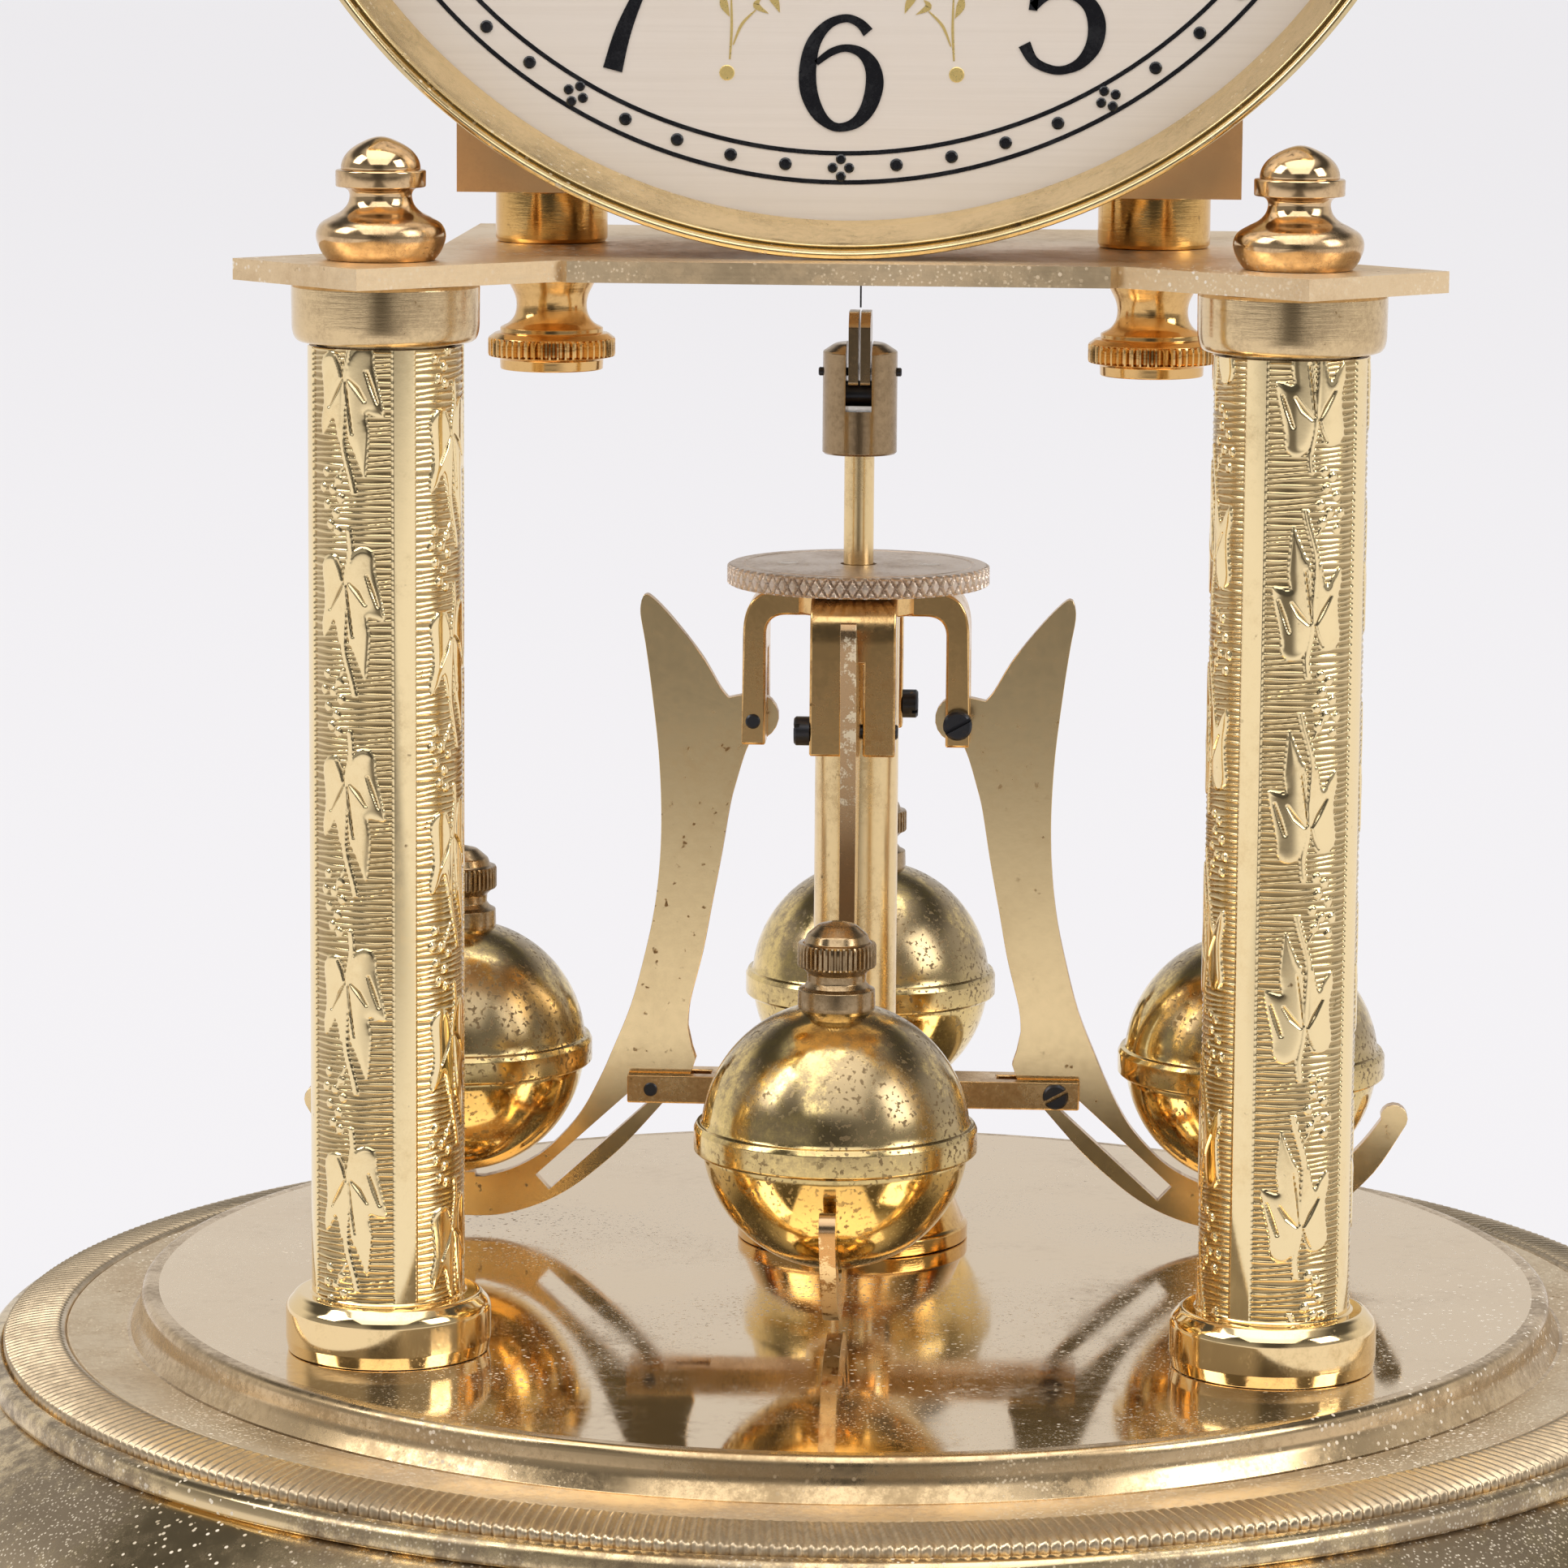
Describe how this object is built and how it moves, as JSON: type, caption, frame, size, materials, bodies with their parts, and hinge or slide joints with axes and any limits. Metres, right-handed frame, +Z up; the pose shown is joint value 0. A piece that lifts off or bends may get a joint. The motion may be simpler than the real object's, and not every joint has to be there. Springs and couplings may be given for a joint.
{
  "type": "torsion pendulum mantel clock",
  "caption": "Brass mantel clock on a round stepped base with embossed columns, a round dial and a rotary pendulum of balls on pivoted levers.",
  "frame": {"origin": "centre of the underside of the felt ring, where the clock stands", "axes": "+Z up, the dial faces -Y, +X to the right of someone who looks at the dial"},
  "size_m": [0.191, 0.191, 0.2401],
  "materials": {
    "polished_brass": "polished, lacquered",
    "satin_brass": "satin, aged",
    "copper_brass": "aged, reddish",
    "dial_silver": "silvered, horizontally brushed",
    "blued_steel": "blued dark",
    "steel": "bright",
    "felt": "pressed felt"
  },
  "bodies": {
    "frame": {"base_shell": "polished_brass", "base_plate": "steel", "felt_ring": "felt", "guide_cup": "polished_brass", "collar_left": "polished_brass", "collar_right": "polished_brass", "column_left": "polished_brass", "column_right": "polished_brass", "cap_left": "satin_brass", "cap_right": "satin_brass", "tie_bolt_left": "steel", "tie_bolt_right": "steel", "finial_left": "copper_brass", "finial_right": "copper_brass", "platform": "satin_brass", "movement_foot_left": "copper_brass", "movement_foot_right": "copper_brass", "thumb_nut_left": "copper_brass", "thumb_nut_right": "copper_brass", "front_plate": "polished_brass", "back_plate": "polished_brass", "dial": "dial_silver", "bezel": "satin_brass", "suspension_bracket": "satin_brass", "top_block": "copper_brass", "suspension_wire": "steel"},
    "barrel": {"mainspring_barrel": "polished_brass", "mainspring": "steel"},
    "winding": {"winding_arbor": "steel", "ratchet_wheel": "steel"},
    "click": {"click": "steel"},
    "intermediate": {"intermediate_wheel": "polished_brass"},
    "centre": {"centre_wheel": "polished_brass", "cannon_pinion": "steel", "minute_hand": "blued_steel", "hand_nut": "satin_brass"},
    "third": {"third_wheel": "polished_brass"},
    "escape": {"escape_wheel": "polished_brass"},
    "anchor": {"anchor": "steel"},
    "fork": {"fork": "satin_brass"},
    "minute_work": {"minute_wheel": "polished_brass"},
    "hour": {"hour_wheel": "polished_brass", "hour_hand": "blued_steel"},
    "pendulum": {"hook": "satin_brass", "bottom_block": "copper_brass", "lower_cross": "satin_brass"},
    "bracket": {"upper_bracket": "satin_brass"},
    "disc": {"regulating_disc": "satin_brass"},
    "arm_right": {"lever_right": "polished_brass", "ball_right": "polished_brass", "ball_nut_right": "copper_brass"},
    "arm_back": {"lever_back": "polished_brass", "ball_back": "polished_brass", "ball_nut_back": "copper_brass"},
    "arm_left": {"lever_left": "polished_brass", "ball_left": "polished_brass", "ball_nut_left": "copper_brass"},
    "arm_front": {"lever_front": "polished_brass", "ball_front": "polished_brass", "ball_nut_front": "copper_brass"}
  },
  "joints": [
    {"name": "barrel_turn", "type": "hinge", "parent": "frame", "child": "barrel", "pos_m": [-0.0085, 0, 0.1571], "axis": [0, 1, 0], "continuous": true},
    {"name": "intermediate_turn", "type": "hinge", "parent": "frame", "child": "intermediate", "pos_m": [0.01259, 0, 0.16575], "axis": [0, 1, 0], "continuous": true},
    {"name": "centre_turn", "type": "hinge", "parent": "frame", "child": "centre", "pos_m": [0, 0, 0.1844], "axis": [0, 1, 0], "continuous": true},
    {"name": "third_turn", "type": "hinge", "parent": "frame", "child": "third", "pos_m": [0.01552, 0, 0.19352], "axis": [0, 1, 0], "continuous": true},
    {"name": "escape_turn", "type": "hinge", "parent": "frame", "child": "escape", "pos_m": [0, 0, 0.2043], "axis": [0, 1, 0], "continuous": true},
    {"name": "minute_work_turn", "type": "hinge", "parent": "frame", "child": "minute_work", "pos_m": [0, 0, 0.1724], "axis": [0, 1, 0], "continuous": true},
    {"name": "hour_turn", "type": "hinge", "parent": "frame", "child": "hour", "pos_m": [0, 0, 0.1844], "axis": [0, 1, 0], "continuous": true},
    {"name": "winding_turn", "type": "hinge", "parent": "frame", "child": "winding", "pos_m": [-0.0085, 0, 0.1571], "axis": [0, 1, 0], "continuous": true},
    {"name": "click_lift", "type": "hinge", "parent": "frame", "child": "click", "pos_m": [0.0021, 0.007, 0.1571], "axis": [0, 1, 0], "range_deg": [0, 8], "stiffness_Nm_per_rad": 0.001},
    {"name": "anchor_rock", "type": "hinge", "parent": "frame", "child": "anchor", "pos_m": [0, 0, 0.2156], "axis": [0, 1, 0], "range_deg": [-2.8, 2.8]},
    {"name": "fork_turn", "type": "hinge", "parent": "frame", "child": "fork", "pos_m": [0, 0.0169, 0.2242], "axis": [0, 0, 1], "range_deg": [-4.5, 4.5]},
    {"name": "pendulum_turn", "type": "hinge", "parent": "frame", "child": "pendulum", "pos_m": [0, 0.0169, 0.1], "axis": [0, 0, 1], "range_deg": [-150, 150], "stiffness_Nm_per_rad": 0.00007},
    {"name": "bracket_slide", "type": "slide", "parent": "pendulum", "child": "bracket", "axis": [0, 0, 1], "range_m": [0, 0.0045]},
    {"name": "disc_turn", "type": "hinge", "parent": "bracket", "child": "disc", "pos_m": [0, 0.0169, 0.0954], "axis": [0, 0, 1], "range_deg": [0, 2160]},
    {"name": "arm_right_pivot", "type": "hinge", "parent": "bracket", "child": "arm_right", "pos_m": [0.0099, 0.0169, 0.0814], "axis": [0, 1, 0], "range_deg": [0, 5.3]},
    {"name": "arm_back_pivot", "type": "hinge", "parent": "bracket", "child": "arm_back", "pos_m": [0, 0.0268, 0.0814], "axis": [-1, 0, 0], "range_deg": [0, 5.3]},
    {"name": "arm_left_pivot", "type": "hinge", "parent": "bracket", "child": "arm_left", "pos_m": [-0.0099, 0.0169, 0.0814], "axis": [0, -1, 0], "range_deg": [0, 5.3]},
    {"name": "arm_front_pivot", "type": "hinge", "parent": "bracket", "child": "arm_front", "pos_m": [0, 0.007, 0.0814], "axis": [1, 0, 0], "range_deg": [0, 5.3]}
  ],
  "couplings": [
    {"joint": "barrel_turn", "follows": "centre_turn", "ratio": 0.02331},
    {"joint": "intermediate_turn", "follows": "centre_turn", "ratio": -0.15385},
    {"joint": "third_turn", "follows": "centre_turn", "ratio": -5},
    {"joint": "escape_turn", "follows": "centre_turn", "ratio": 16},
    {"joint": "minute_work_turn", "follows": "centre_turn", "ratio": -0.33333},
    {"joint": "hour_turn", "follows": "centre_turn", "ratio": 0.083333},
    {"joint": "fork_turn", "follows": "anchor_rock", "ratio": 1.46},
    {"joint": "disc_turn", "follows": "bracket_slide", "rad_per_m": 8377},
    {"joint": "arm_right_pivot", "follows": "bracket_slide", "rad_per_m": 20.357},
    {"joint": "arm_back_pivot", "follows": "bracket_slide", "rad_per_m": 20.357},
    {"joint": "arm_left_pivot", "follows": "bracket_slide", "rad_per_m": 20.357},
    {"joint": "arm_front_pivot", "follows": "bracket_slide", "rad_per_m": 20.357}
  ]
}
